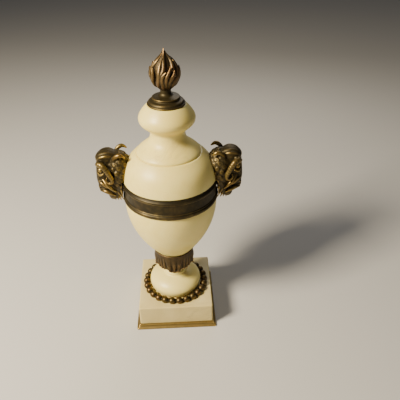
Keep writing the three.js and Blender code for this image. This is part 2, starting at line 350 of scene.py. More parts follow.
def heading(tilt: float, turn: float) -> Array:
    """A rotation: first tilted about Y, then turned about Z.

    Args:
        tilt: The tilt in radians, which lowers the X axis when positive.
        turn: The turn in radians.

    Returns:
        The rotation as three rows and columns.
    """
    ct, st = math.cos(tilt), math.sin(tilt)
    cz, sz = math.cos(turn), math.sin(turn)
    about_y = np.array([[ct, 0, st], [0, 1, 0], [-st, 0, ct]])
    about_z = np.array([[cz, -sz, 0], [sz, cz, 0], [0, 0, 1]])
    return about_z @ about_y


@dataclass(frozen=True)
class Ball:
    """An ellipsoid, with a relief of its own if it has one.

    Its distance is k (k - 1) / m, where k is the length of the place divided by the radii, and m
    is the length of the place divided by their squares.
    """

    centre: Point
    radii: Point
    tilt: float = 0.0
    turn: float = 0.0
    ease: float = 2.0
    cut: bool = False
    relief: Callable[[Array], Array] | None = None

    def distance(self, places: Array) -> Array:
        """The distance to the ellipsoid, less the relief's height.

        Args:
            places: The places to measure from.

        Returns:
            The distances, negative inside.
        """
        radii = np.array(self.radii)
        local = (places - np.array(self.centre)) @ heading(self.tilt, self.turn)
        k = np.linalg.norm(local / radii, axis=1)
        m = np.linalg.norm(local / radii**2, axis=1)
        away = k * (k - 1) / np.maximum(m, 1e-6)
        return away if self.relief is None else away - self.relief(local)

    def room(self) -> tuple[Array, Array]:
        """The corners of a box round the ellipsoid, whichever way it is turned."""
        reach = max(self.radii) + RELIEF_ROOM
        return np.array(self.centre) - reach, np.array(self.centre) + reach


@dataclass(frozen=True)
class Strand:
    """A tapered strand along a route, such as a horn, a lock of wool or a tongue of flame.

    Its distance is the distance to the nearest stretch of the route, less the thickness there.
    Rings add a wave to the thickness, a cosine of the length along the route.
    """

    route: Sequence[Point]
    thickness: Sequence[float]
    ease: float = 0.6
    cut: bool = False
    rings: float = 0.0
    ring_pitch: float = 2.4
    steps: int = 30

    def spine(self) -> tuple[Array, Array]:
        """The route as a smooth curve through its points, with the thickness at each one.

        Each stretch is the cubic that leaves a point in the direction from the one before to the
        one after it.

        Returns:
            The points of the curve, and the thickness at each.
        """
        knots = np.column_stack([np.array(self.route, float), np.array(self.thickness, float)])
        padded = np.vstack([2 * knots[0] - knots[1], knots, 2 * knots[-1] - knots[-2]])
        at = np.linspace(0, len(knots) - 1, self.steps + 1)
        k = np.minimum(at.astype(int), len(knots) - 2)
        t = (at - k)[:, None]
        a, b, c, d = padded[k], padded[k + 1], padded[k + 2], padded[k + 3]
        square, cube = 2 * a - 5 * b + 4 * c - d, 3 * b - a - 3 * c + d
        curve = 0.5 * (2 * b + (c - a) * t + square * t**2 + cube * t**3)
        return curve[:, :3], np.maximum(curve[:, 3], LEAST_STRAND)

    def distance(self, places: Array) -> Array:
        """The distance to the strand's skin.

        Args:
            places: The places to measure from.

        Returns:
            The distances, negative inside.
        """
        points, thick = self.spine()
        steps = np.linalg.norm(np.diff(points, axis=0), axis=1)
        start = np.concatenate([[0.0], np.cumsum(steps)])
        best = np.full(len(places), 1e9)
        for i, length in enumerate(steps):
            way = points[i + 1] - points[i]
            t = np.clip((places - points[i]) @ way / length**2, 0, 1)
            off = places - points[i] - t[:, None] * way
            skin = thick[i] + (thick[i + 1] - thick[i]) * t
            if self.rings:
                along = (start[i] + t * length) / self.ring_pitch
                skin = skin * (1 + self.rings * np.cos(TAU * along))
            best = np.minimum(best, np.sqrt(np.einsum("ij,ij->i", off, off)) - skin)
        return best

    def room(self) -> tuple[Array, Array]:
        """The corners of a box round the strand."""
        points, thick = self.spine()
        reach = float(thick.max()) + STRAND_ROOM
        return points.min(0) - reach, points.max(0) + reach


def sided(route: Sequence[Point], s: float) -> list[Point]:
    """A route given for +Y, laid on the side whose sign is given."""
    return [(x, s * y, z) for x, y, z in route]


def eased_join(a: Array, b: Array, ease: float) -> Array:
    """Joins two forms by a fillet: the lesser distance, less (1 - |a - b| / e)^2 e / 4 within e."""
    near = np.clip(1 - np.abs(a - b) / max(ease, 1e-6), 0, 1)
    return np.minimum(a, b) - near**2 * max(ease, 1e-6) / 4


@dataclass
class Carving:
    """Forms joined and cut in order, and a last limit that trims the whole."""

    forms: list[Form]
    trim: Callable[[Array], Array] | None = None

    def distance(self, places: Array) -> Array:
        """The distance to the carving, from every form.

        Args:
            places: The places to measure from.

        Returns:
            The distances, negative inside.
        """
        total = np.full(len(places), FAR)
        for form in self.forms:
            low, high = form.room()
            near = np.all((places > low - ROOM_MARGIN) & (places < high + ROOM_MARGIN), axis=1)
            if near.any():
                total[near] = self._with(total[near], form, places[near])
        return total if self.trim is None else np.maximum(total, self.trim(places))

    @staticmethod
    def _with(total: Array, form: Form, places: Array) -> Array:
        """The distances so far with one more form joined to them, or cut out of them.

        Args:
            total: The distances so far.
            form: The next form.
            places: The places to measure from.

        Returns:
            The new distances.
        """
        away = form.distance(places)
        if form.cut:
            return -eased_join(-total, away, form.ease)
        return eased_join(total, away, form.ease)

    def surface(self, step: float) -> Shell:
        """The carving's skin, as a net over a grid of distances, drawn onto the true surface.

        Args:
            step: The grid's pitch.

        Returns:
            The closed surface.
        """
        rooms = [form.room() for form in self.forms if not form.cut]
        low = np.min([room[0] for room in rooms], axis=0) - 2 * step
        high = np.max([room[1] for room in rooms], axis=0) + 2 * step
        shape = np.ceil((high - low) / step).astype(int) + 1
        axes = [low[k] + step * np.arange(shape[k]) for k in range(3)]
        grid = np.stack(np.meshgrid(*axes, indexing="ij"), -1).reshape(-1, 3)
        net = surface_net(self.distance(grid).reshape(shape), low, step)
        for _ in range(2):
            net.points += self._pull(net.points, 0.4 * step)
        return net

    def _pull(self, places: Array, most: float) -> Array:
        """One step towards the surface: the distance over its slope, down the slope.

        Args:
            places: Points near the surface.
            most: The longest step.

        Returns:
            The step for each point.
        """
        away = self.distance(places)
        ahead = [self.distance(places + NUDGE * axis) - away for axis in np.eye(3)]
        slope = np.stack(ahead, -1) / NUDGE
        steep = np.maximum(np.einsum("ij,ij->i", slope, slope), 0.2)
        step = -(away / steep)[:, None] * slope
        length = np.maximum(np.linalg.norm(step, axis=1, keepdims=True), 1e-9)
        return step * np.minimum(1.0, most / length)


def surface_net(distances: Array, low: Array, step: float) -> Shell:
    """Draws a net where the distances change sign.

    Each grid cell that the surface passes through holds one point, the mean of the places where
    the surface crosses the cell's edges. Each crossed edge gives one face, whose corners are the
    points of the four cells round it.

    Args:
        distances: The distances on a grid, positive all over its border.
        low: The place of the grid's first corner.
        step: The grid's pitch.

    Returns:
        The closed surface, facing the positive side.
    """
    shape = np.array(distances.shape)
    owners, places, corners = [], [], []
    for axis in range(3):
        first = [slice(None)] * 3
        second = [slice(None)] * 3
        first[axis], second[axis] = slice(None, -1), slice(1, None)
        a, b = distances[tuple(first)], distances[tuple(second)]
        at = np.argwhere((a < 0) != (b < 0))
        here, there = a[tuple(at.T)], b[tuple(at.T)]
        place = at.astype(float)
        place[:, axis] += here / (here - there)
        u, v = (axis + 1) % 3, (axis + 2) % 3
        around = []
        for back_u, back_v in ((0, 0), (1, 0), (1, 1), (0, 1)):
            cell = at.copy()
            cell[:, u] -= back_u
            cell[:, v] -= back_v
            around.append(np.ravel_multi_index(cell.T, shape))
            owners.append(around[-1])
            places.append(place)
        quad = np.stack(around, -1)
        corners.append(np.where((here < 0)[:, None], quad, quad[:, ::-1]))
    owner = np.concatenate(owners)
    place = np.concatenate(places)
    cells, number = np.unique(owner, return_inverse=True)
    count = np.bincount(number, minlength=len(cells))
    mean = np.stack([np.bincount(number, place[:, k], len(cells)) / count for k in range(3)], -1)
    quads = np.searchsorted(cells, np.concatenate(corners))
    return Shell(low + step * mean, quads)


# ---- Finishes ----


class NodeSheet:
    """A material's node tree, with short calls for the nodes that the finishes are made of."""

    def __init__(self, name: str) -> None:
        """Starts an empty sheet with its shader and output.

        Args:
            name: The material's name.
        """
        self.material = bpy.data.materials.new(name)
        self.material.use_nodes = True
        self.tree = self.material.node_tree
        self.tree.nodes.clear()
        self.shader = self.node("BsdfPrincipled")
        self.node("OutputMaterial", Surface=self.shader.outputs["BSDF"])
        self.place = self.node("TexCoord").outputs["Object"]

    def _feed(self, socket: Socket, value: object) -> None:
        """Links a socket to another, or sets its number.

        Args:
            socket: The input.
            value: A socket, a number or a row of numbers.
        """
        if isinstance(value, Socket):
            self.tree.links.new(value, socket)
        else:
            socket.default_value = value

    def node(self, kind: str, **values: object) -> bpy.types.Node:
        """Adds a node and fills its sockets, named with underscores for spaces.

        Args:
            kind: The end of the node's type name.
            values: A socket or a number for each input.

        Returns:
            The node.
        """
        node = self.tree.nodes.new("ShaderNode" + kind)
        for name, value in values.items():
            self._feed(node.inputs[name.replace("_", " ")], value)
        return node

    def noise(
        self, scale: float, detail: float = 4.0, rough: float = 0.5, twist: float = 0.0
    ) -> Socket:
        """Cloudy noise in the piece's own space.

        Args:
            scale: How many clouds there are in a metre.
            detail: How many finer layers lie on it.
            rough: How strong the finer layers are.
            twist: How far the clouds are drawn out of shape.

        Returns:
            The noise, about 0.2 to 0.8.
        """
        layers = {"Detail": detail, "Roughness": rough, "Distortion": twist}
        return self.node("TexNoise", Vector=self.place, Scale=scale, **layers).outputs["Fac"]

    def step(self, value: Socket, low: float, high: float) -> Socket:
        """A smooth step of a value from 0 at one number to 1 at another."""
        node = self.node("MapRange", Value=value, From_Min=low, From_Max=high)
        node.interpolation_type = "SMOOTHSTEP"
        return node.outputs["Result"]

    def scaled(self, value: Socket, low: float, high: float) -> Socket:
        """Spreads a value of 0 to 1 over a range of numbers."""
        return self.node("MapRange", Value=value, To_Min=low, To_Max=high).outputs["Result"]

    def sum(self, kind: str, a: object, b: object) -> Socket:
        """Arithmetic on two values, each a socket or a number.

        Args:
            kind: The operation.
            a: The first value.
            b: The second value.

        Returns:
            The result.
        """
        node = self.node("Math")
        node.operation = kind
        self._feed(node.inputs[0], a)
        self._feed(node.inputs[1], b)
        return node.outputs[0]

    def tinted(self, share: Socket, a: object, b: object) -> Socket:
        """Mixes two colours, each a socket or a tuple, by a share of the second.

        Args:
            share: The share of the second colour.
            a: The first colour.
            b: The second colour.

        Returns:
            The mixed colour.
        """
        node = self.node("Mix")
        node.data_type = "RGBA"
        self._feed(node.inputs[0], share)
        for number, value in ((6, a), (7, b)):
            full = value if isinstance(value, Socket) else (*value, 1.0)
            self._feed(node.inputs[number], full)
        return node.outputs[2]

    def attribute(self, name: str) -> Socket:
        """A number that the piece's points carry."""
        node = self.node("Attribute")
        node.attribute_name = name
        return node.outputs["Fac"]

    def bump(self, height: Socket, strength: float, depth: float) -> None:
        """Raises the shading by a height of 0 to 1, where 1 is the depth in millimetres."""
        node = self.node("Bump", Strength=strength, Distance=depth * MM, Height=height)
        self.set(Normal=node.outputs["Normal"])

    def set(self, **values: object) -> None:
        """Sets or links the shader's sockets, named with underscores for spaces."""
        for name, value in values.items():
            self._feed(self.shader.inputs[name.replace("_", " ")], value)


def added(name: str, data: bpy.types.ID) -> bpy.types.Object:
    """A new object that holds the data, linked into the scene."""
    made = bpy.data.objects.new(name, data)
    bpy.context.scene.collection.objects.link(made)
    return made


@dataclass(frozen=True)
class Marble:
    """Polished white marble, aged to cream, with soft clouds, faint veins and dust in its pores."""

    name: str
    body: Colour
    cloud: Colour
    vein: Colour
    gloss: float
    cloud_scale: float = 22.0
    vein_scale: float = 16.0
    vein_width: float = 0.022
    grain_scale: float = 900.0

    def made(self) -> bpy.types.Material:
        """The material: clouds, then a thin dark line where a twisted noise crosses its middle.

        Returns:
            The material.
        """
        sheet = NodeSheet(self.name)
        clouds = sheet.step(sheet.noise(self.cloud_scale, 5.0, 0.55, 0.6), 0.38, 0.68)
        drift = sheet.noise(self.vein_scale, 6.0, 0.6, 1.6)
        off = sheet.sum("ABSOLUTE", sheet.sum("SUBTRACT", drift, 0.5), 0.0)
        line = sheet.sum("SUBTRACT", 1.0, sheet.step(off, 0.0, self.vein_width))
        faint = sheet.sum("MULTIPLY", line, sheet.step(sheet.noise(11.0), 0.5, 0.7))
        grain = sheet.noise(self.grain_scale, 3.0, 0.6)
        colour = sheet.tinted(clouds, self.body, self.cloud)
        colour = sheet.tinted(sheet.sum("MULTIPLY", faint, 0.35), colour, self.vein)
        dust = sheet.sum("MULTIPLY", sheet.step(grain, 0.62, 0.74), 0.25)
        colour = sheet.tinted(dust, colour, self.vein)
        rough = sheet.scaled(sheet.noise(70.0, 5.0, 0.6), self.gloss - 0.09, self.gloss + 0.13)
        sheet.set(Base_Color=colour, Roughness=rough, IOR=1.5, Subsurface_Weight=0.22)
        sheet.set(Subsurface_Radius=(1.0, 0.82, 0.55), Subsurface_Scale=0.0035)
        waves = sheet.sum("ADD", sheet.noise(35.0, 3.0), sheet.sum("MULTIPLY", grain, 0.1))
        sheet.bump(waves, strength=0.25, depth=0.25)
        return sheet.material


@dataclass(frozen=True)
class Bronze:
    """Gilt bronze: dark patina in the hollows, grime and painted shade in the deepest of them, and
    metal where hands have rubbed it.
    """

    name: str
    patina: Colour
    metal: Colour
    warm: Colour
    # The near black of the deepest hollows: grime, and painted shade.
    grime_and_shade: Colour = (0.012, 0.008, 0.004)
    rub_from: float = 0.46
    rub_to: float = 0.94
    dull: float = 0.5
    bright: float = 0.31
    patch_scale: float = 140.0
    tone_scale: float = 60.0
    casting_scale: float = 450.0
    grit_scale: float = 1600.0

    def made(self) -> bpy.types.Material:
        """The material: grime and painted shade, patina and metal by how proud the surface stands,
        broken by noise.

        Returns:
            The material.
        """
        sheet = NodeSheet(self.name)
        rub = sheet.attribute("rub")
        patches = sheet.noise(self.patch_scale, 5.0, 0.6, 0.4)
        worn = sheet.sum("ADD", rub, sheet.scaled(patches, -0.16, 0.16))
        bare = sheet.step(worn, self.rub_from, self.rub_to)
        # Grime and painted shade: the deepest hollows are darkened towards near black.
        hollow = sheet.sum("SUBTRACT", 1.0, sheet.step(worn, 0.06, 0.40))
        tone = sheet.step(sheet.noise(self.tone_scale, 3.0, 0.5), 0.4, 0.65)
        colour = sheet.tinted(bare, self.patina, sheet.tinted(tone, self.metal, self.warm))
        colour = sheet.tinted(hollow, colour, self.grime_and_shade)
        grit = sheet.noise(self.grit_scale, 3.0, 0.6)
        polish = sheet.scaled(bare, self.dull, self.bright)
        rough = sheet.sum("ADD", polish, sheet.scaled(grit, -0.08, 0.08))
        sheet.set(Base_Color=colour, Metallic=sheet.scaled(bare, 0.65, 1.0), Roughness=rough)
        skin = sheet.noise(self.casting_scale, 4.0, 0.55)
        casting = sheet.sum("ADD", skin, sheet.sum("MULTIPLY", grit, 0.3))
        sheet.bump(casting, strength=0.5, depth=0.12)
        return sheet.material


class Finish(Enum):
    """The finishes of the urn, each with the record's slot that it belongs to."""

    MARBLE = "marble"
    PLINTH_MARBLE = "plinth_marble"
    GILT = "gilt_bronze"
    COPPERY = "gilt_bronze_coppery"
    PEARLS = "gilt_bronze_pearls"
    DARK = "dark_bronze"
    BRASS = "base_brass"

    @property
    def slot(self) -> str:
        """The record's slot."""
        return self.value.removesuffix("_coppery").removesuffix("_pearls")


FINISHES: dict[Finish, Marble | Bronze] = {
    Finish.MARBLE: Marble(
        name="marble",
        body=(0.88, 0.745, 0.27),
        cloud=(0.83, 0.675, 0.205),
        vein=(0.46, 0.35, 0.11),
        gloss=0.40,
    ),
    # The plinth's marble is the vessel's marble painted darker all over: painted shade.
    Finish.PLINTH_MARBLE: Marble(
        name="plinth_marble",
        body=(0.67, 0.56, 0.255),
        cloud=(0.585, 0.475, 0.20),
        vein=(0.35, 0.26, 0.11),
        gloss=0.42,
    ),
    Finish.GILT: Bronze(
        name="gilt_bronze",
        patina=(0.042, 0.031, 0.011),
        metal=(0.36, 0.255, 0.075),
        warm=(0.31, 0.20, 0.062),
        rub_from=0.52,
    ),
    Finish.COPPERY: Bronze(
        name="gilt_bronze_coppery",
        patina=(0.046, 0.031, 0.013),
        metal=(0.34, 0.225, 0.09),
        warm=(0.33, 0.18, 0.075),
    ),
    Finish.PEARLS: Bronze(
        name="gilt_bronze_pearls",
        patina=(0.022, 0.016, 0.006),
        metal=(0.13, 0.092, 0.034),
        warm=(0.14, 0.085, 0.034),
        bright=0.40,
    ),
    Finish.DARK: Bronze(
        name="dark_bronze",
        patina=(0.021, 0.016, 0.006),
        metal=(0.24, 0.175, 0.062),
        warm=(0.22, 0.145, 0.05),
        rub_from=0.50,
        rub_to=0.90,
    ),
    Finish.BRASS: Bronze(
        name="base_brass",
        patina=(0.17, 0.118, 0.035),
        metal=(0.62, 0.45, 0.145),
        warm=(0.54, 0.36, 0.11),
        rub_from=0.40,
        bright=0.28,
    ),
}


class Workshop:
    """Makes the materials once, and puts finished pieces into the scene."""

    def __init__(self) -> None:
        """Makes every finish."""
        self.materials = {finish: maker.made() for finish, maker in FINISHES.items()}

    def raise_piece(
        self,
        name: str,
        shell: Shell,
        node: str,
        finish: Finish,
        rub: tuple[int, float] | None = None,
    ) -> bpy.types.Object:
        """Makes a surface into a piece that stands for a node of the frame.

        Args:
            name: The piece's name.
            shell: Its surface, in millimetres.
            node: The node that it replaces.
            finish: Its finish.
            rub: The rounds and the depth of its wear, and of the grime and painted shade in its
                hollows, for a bronze piece.

        Returns:
            The piece.
        """
        mesh = bpy.data.meshes.new(name)
        loops = np.concatenate([shell.quads.ravel(), shell.tris.ravel()])
        sizes = np.concatenate([np.full(len(shell.quads), 4), np.full(len(shell.tris), 3)])
        mesh.vertices.add(len(shell.points))
        mesh.loops.add(len(loops))
        mesh.polygons.add(len(sizes))
        mesh.vertices.foreach_set("co", (shell.points * MM).astype(np.float32).ravel())
        mesh.loops.foreach_set("vertex_index", loops.astype(np.int32))
        starts = np.concatenate([[0], np.cumsum(sizes)[:-1]])
        mesh.polygons.foreach_set("loop_start", starts.astype(np.int32))
        mesh.polygons.foreach_set("use_smooth", np.ones(len(sizes), bool))
        mesh.update(calc_edges=True)
        mesh.validate()
        mesh.set_sharp_from_angle(angle=SHARP_ANGLE)
        if rub is not None:
            worn = mesh.attributes.new("rub", "FLOAT", "POINT")
            worn.data.foreach_set("value", shell.rubbed(*rub).astype(np.float32))
        mesh.materials.append(self.materials[finish])
        piece = added(name, mesh)
        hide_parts(node)
        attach(piece, BODY)
        low, high = shell.points.min(0), shell.points.max(0)
        log.info(
            "%s: %d faces, %s to %s mm", name, len(sizes), np.round(low, 1), np.round(high, 1)
        )
        return piece


# ---- The pedestal ----


@dataclass
class Pedestal:
    """The brass plate, the marble block, the turned marble foot and the ring of pearls round it."""

    plate: Span = measured("base_plate")
    block: Span = measured("plinth")
    foot: Span = measured("socle")
    pearls: Span = measured("bead_ring")
    plate_corner: float = 1.4
    block_corner: float = 1.5
    collar: float = 12.6
    stem: float = 10.6
    pearl_count: int = 26
    pearl_radius: float = 3.95
    pearl_circle: float = 33.5
    wire: float = 1.5

    def build(self, shop: Workshop) -> None:
        """Makes the four pieces.

        Args:
            shop: Where they are finished.
        """
        shop.raise_piece(
            "brass_plate", self.plate_shell(), "base_plate", Finish.BRASS, (12, 0.25)
        )
        shop.raise_piece("marble_block", self.block_shell(), "plinth", Finish.PLINTH_MARBLE)
        shop.raise_piece("marble_foot", self.foot_shell(), "socle", Finish.MARBLE)
        shop.raise_piece("pearl_ring", self.pearl_shell(), "bead_ring", Finish.PEARLS, (10, 0.8))

    def plate_shell(self) -> Shell:
        """A square plate with a rolled lip and a cove up to the block.

        Returns:
            Its closed surface.
        """
        w, z = self.plate.reach, self.plate.foot
        path = Outline(0, z).line(w - 0.3, z, 0.2).line(w, z + 0.5, 0.3).line(w, z + 1.7, 0.5)
        path.line(w - 0.6, z + 2.3, 0.3)
        path.bend((w - 1.8, z + 2.5), (w - 2.3, z + 3.0), (w - 2.4, z + 4.2), steps=12, ease=0.3)
        path.line(w - 2.9, self.plate.top, 0.3).line(0, self.plate.top)
        return squared(path.drawn(), self.plate_corner)

    def block_shell(self) -> Shell:
        """A square block with softened edges.

        Returns:
            Its closed surface.
        """
        w, z, top = self.block.reach, self.block.foot, self.block.top
        path = Outline(0, z).line(w - 0.5, z, 0.3).line(w, z + 0.9, 0.6)
        path.line(w, top, 1.3).line(0, top)
        return squared(path.drawn(), self.block_corner)

    def foot_shell(self) -> Shell:
        """A bulging foot that draws in to a collar and a short stem.

        Returns:
            Its closed surface.
        """
        r, z, top = self.foot.reach, self.foot.foot, self.foot.top
        path = Outline(0, z).line(r - 3.6, z, 0.3)
        path.bend((r - 1, z + 2), (r, z + 5), (r, z + 8.4), steps=20)
        neck = (self.collar + 0.6, z + 20.4)
        path.bend((r, z + 13.6), (r - 6, z + 18.6), neck, steps=36, ease=0.8)
        path.line(self.collar, z + 21.4, 0.5).line(self.collar, z + 23.6, 0.7)
        path.line(self.stem, z + 25, 0.7).line(self.stem, top).line(0, top)
        return turned(path.drawn(), 192)

    def pearl_shell(self) -> Shell:
        """A string of pearls on a wire, as one tube whose section swells at each pearl.

        Along the ring, the tube's radius is the root of the pearl's radius squared less the
        distance from the pearl's middle squared, and never less than the wire's. The places along
        the ring crowd where the pearls meet. Points under the block's top are lifted onto it.

        Returns:
            Its closed surface.
        """
        pitch = TAU / self.pearl_count
        share = np.linspace(-1, 1, 20, endpoint=False) + 0.05
        along = 0.5 * pitch * np.sin(share * math.pi / 2)
        angle = (np.arange(self.pearl_count)[:, None] * pitch + along).ravel()
        away = np.tile(along * self.pearl_circle, self.pearl_count)
        swell = np.sqrt(np.maximum(self.pearl_radius**2 - away**2, self.wire**2))[:, None]
        round_ = np.linspace(0, TAU, 28, endpoint=False)[None, ::-1]
        r = self.pearl_circle + swell * np.cos(round_)
        middle = self.pearls.top - self.pearl_radius
        z = np.maximum(middle + swell * np.sin(round_), self.pearls.foot)
        a = angle[:, None]
        return swept_rows(np.stack([r * np.cos(a), r * np.sin(a), z + 0 * r], -1), True)


# ---- The vessel ----


@dataclass
class Vessel:
    """The leaf cup, the bowl, the band round the joint and the shoulder above it."""

    cup: Span = measured("leaf_cup")
    bowl: Span = measured("bowl")
    band: Span = measured("band")
    shoulder: Span = measured("shoulder")
    rebate: float = 43.9
    inside: float = 37.5
    mouth: float = 20.0
    leaves: int = 4
    leaf_foot: float = 66.0
    leaf_half: float = 0.27
    leaf_lift: float = 4.8
    leaf_rows: int = 72
    cup_sides: int = 480
    leaf_tip_radius: float = 15.2

    def build(self, shop: Workshop) -> None:
        """Makes the four pieces.

        Args:
            shop: Where they are finished.
        """
        cup = self.cup_shell()
        shop.raise_piece("leaf_cup_bronze", cup, "leaf_cup", Finish.COPPERY, (14, 0.45))
        shop.raise_piece("marble_bowl", turned(self.bowl_path(), 224), "bowl", Finish.MARBLE)
        band = turned(self.band_path(), 288, wrap=True)
        shop.raise_piece("bronze_band", band, "band", Finish.DARK, (10, 0.35))
        top = turned(self.shoulder_path(), 224, wrap=True)
        shop.raise_piece("marble_shoulder", top, "shoulder", Finish.MARBLE)

    def foot_curve(self, grown: float) -> Outline:
        """The bowl's foot from its edge upwards, grown outwards.

        Args:
            grown: How far it is grown.

        Returns:
            An outline that can be drawn on.
        """
        z = self.bowl.foot - grown
        path = Outline(0, z).line(11 + grown, z, 0.4)
        return path.bend((12.5 + grown, z + 1.3), (16.5 + grown, z + 7.3), (21.4 + grown, z + 14))

    def bowl_path(self) -> Array:
        """An egg-shaped bowl, hollow, with a step at the top that the band hides.

        Returns:
            The half section's points.
        """
        z, top, joint = self.bowl.foot, self.bowl.top, self.band.foot
        path = self.foot_curve(0.0)
        r = self.bowl.reach
        path.bend((29.8, z + 24.7), (r + 2, z + 49.8), (r, joint), steps=64, ease=0.3)
        path.line(self.rebate, joint).line(self.rebate, top).line(self.inside, top)
        path.line(self.inside, top - 16)
        return path.bend((self.inside, top - 48), (20, z + 12.8), (0, z + 12.8), steps=40).drawn()

    def band_path(self) -> Array:
        """A band with a roll at its foot, a sunk frieze between fine beads, and a stepped top.

        Returns:
            The half section's points.
        """
        z, top = self.band.foot, self.band.top
        back, face, out = self.rebate + 0.3, 46.3, self.band.reach
        path = Outline(back, z).line(46.6, z, 0.2)
        path.bend((out + 0.3, z + 0.9), (out + 0.3, z + 3.2), (47.2, z + 4.2), steps=18, ease=0.2)
        path.line(46.7, z + 4.6, 0.15)
        path.bend((47.2, z + 4.9), (47.2, z + 5.5), (46.6, z + 5.8), steps=8)
        path.line(face, z + 6.0, 0.1).line(face, top - 6.2, 0.1)
        path.line(46.6, top - 6.0)
        path.bend((47.3, top - 5.8), (47.3, top - 5.0), (46.8, top - 4.8), steps=8)
        path.line(47.6, top - 4.5, 0.2).line(47.7, top - 3.3, 0.3)
        path.bend((47.0, top - 2.6), (46.3, top - 1.6), (45.8, top - 0.3), steps=10, ease=0.2)
        return path.line(back, top).line(back, z + 0.4).drawn()

    def shoulder_path(self) -> Array:
        """A domed shoulder, hollow, that closes in to the mouth under the lid.

        Returns:
            The half section's points.
        """
        z, top, edge = self.shoulder.foot, self.shoulder.top, self.band.top
        path = Outline(self.rebate, z).line(self.rebate, edge).line(self.shoulder.reach, edge, 0.2)
        path.bend((44.9, edge + 14), (41.2, edge + 19.6), (32.2, edge + 27), steps=56, ease=0.6)
        path.line(self.mouth, top, 0.4).line(self.mouth, top - 6.5)
        path.bend((30, edge + 19.5), (self.inside, edge + 13), (self.inside, edge + 1), steps=32)
        return path.line(self.inside, z).line(self.rebate - 0.4, z).drawn()

    def leaf_form(self, angle: Array) -> tuple[Array, Array]:
        """How far down each angle's leaf hangs, and its carved height.

        A large leaf's edge falls away from its middle as 1 less the distance to the power 1.15,
        and a small leaf between two large ones as 1 less the distance squared. Small lobes run
        along the edges, as a cosine of the distance from the middle.

        Args:
            angle: Angles from the front, in radians.

        Returns:
            The share of the full drop, and the distance from the nearest large leaf's middle as a
            share of the distance between two large leaves.
        """
        step = TAU / self.leaves
        turn = angle / step
        across = np.abs(turn - np.round(turn))
        share = across / self.leaf_half
        lobes = 0.07 * np.sin(math.pi * np.clip(share, 0, 1)) * np.cos(TAU * across / 0.09)
        large = np.maximum(0, 1 - share**1.15) + lobes
        small = 0.55 * np.maximum(0, 1 - ((0.5 - across) / 0.2) ** 2)
        small = small + 0.05 * (small > 0) * np.cos(TAU * (0.5 - across) / 0.1)
        return np.maximum(np.maximum(large, small), 0), across

    def cup_shell(self) -> Shell:
        """Leaves that hang from a moulded rim round the bowl's foot.

        The rows run from the axis under the cup out to the leaves' edges, up over the carved
        leaves to the rim, and back down inside against the bowl. The leaves' radius follows a root
        curve that widens from the tips to the rim. The carving adds ribs, which are round ridges
        with sharp grooves between them that close up towards the tip, and the tip curls outwards.

        Returns:
            Its closed surface.
        """
        sides = self.cup_sides
        angle = np.linspace(0, TAU, sides, endpoint=False)
        front = (angle + math.pi / 2 + math.pi) % TAU - math.pi
        drop, across = self.leaf_form(front)
        tip_z = self.leaf_foot + (self.cup.foot + self.leaf_lift - self.leaf_foot) * drop
        rim_z = self.cup.top - 1.7
        share = np.linspace(0, 1, self.leaf_rows)[:, None]
        z = tip_z + (rim_z - tip_z) * share
        below = np.clip((76 - z) / 17, 0, 1)
        base = self.leaf_tip_radius + (self.cup.reach - 1.3 - self.leaf_tip_radius) * np.sqrt(
            1 - below**1.6
        )
        rise = np.clip((z - self.cup.foot) / (rim_z - self.cup.foot), 0, 1)
        wide = 0.12 + 0.24 * rise**0.6
        large = np.clip((wide - across) / 0.045, 0, 1)
        large = large * large * (3 - 2 * large)
        ribs = 2 * np.abs(np.cos(math.pi * across / (wide * 0.62))) - 1
        mid = np.clip(1 - across / 0.035, 0, 1)
        small = 2 * np.abs(np.cos(math.pi * (0.5 - across) / 0.13)) - 1
        fade = np.sin(math.pi * np.clip(0.1 + 0.86 * share, 0, 1)) ** 0.6
        carved = large * (0.8 + 0.8 * ribs + 0.3 * mid) + (1 - large) * (0.7 * small - 0.4)
        carved = carved * fade * (1.0 - 0.8 * np.clip((rise - 0.5) / 0.35, 0, 1))
        curl = (1.5 * large + 0.9) * np.clip(1 - share / 0.2, 0, 1) ** 2
        out = np.minimum(base + carved + curl, self.cup.reach)
        rows = [(np.zeros(sides), np.full(sides, self.leaf_foot))]
        rows += [(np.full(sides, r), np.full(sides, self.leaf_foot)) for r in (4.0, 10.8)]
        inner = np.maximum(base[0] - 2.0, 11.2)
        rows.append((inner, np.minimum(tip_z + 0.8, self.leaf_foot)))
        rows.append((out[0] - 1.2, tip_z + 0.15))
        rows += list(zip(out, z + 0 * out))
        rim = Outline(self.cup.reach - 1.4, rim_z).line(self.cup.reach - 0.9, rim_z + 0.3, 0.1)
        rim.bend(
            (self.cup.reach + 0.1, rim_z + 0.5),
            (self.cup.reach + 0.1, rim_z + 1.3),
            (self.cup.reach - 0.6, self.cup.top),
            steps=10,
        )
        inside = self.foot_curve(0.6).drawn()
        edge = np.interp(self.cup.top, inside[:, 1], inside[:, 0])
        rim.line(float(edge), self.cup.top)
        inside = inside[inside[:, 1] < self.cup.top - 0.3][::-1]
        for r, h in np.vstack([rim.drawn(), inside]):
            rows.append((np.full(sides, r), np.full(sides, h)))
        radii = np.stack([row[0] for row in rows])
        heights = np.stack([row[1] for row in rows])
        rings = np.stack([radii * np.cos(angle), radii * np.sin(angle), heights], -1)
        return swept_rows(rings, False)

    def skin(self, heights: Array) -> Array:
        """The vessel's outside radius at each height, from the bowl up over the shoulder.

        Args:
            heights: Heights in millimetres.

        Returns:
            The radius at each.
        """
        bowl, top = self.bowl_path(), self.shoulder_path()
        bowl = bowl[: int(np.argmax(bowl[:, 1] >= self.band.foot)) + 1]
        top = top[(top[:, 1] >= self.band.top) & (top[:, 0] > self.mouth + 1)]
        top = top[np.argsort(top[:, 1])]
        band = np.array([[self.band.reach, self.band.foot], [self.band.reach, self.band.top]])
        path = np.vstack([bowl, band, top])
        return np.interp(heights, path[:, 1], path[:, 0])


# ---- The cover ----


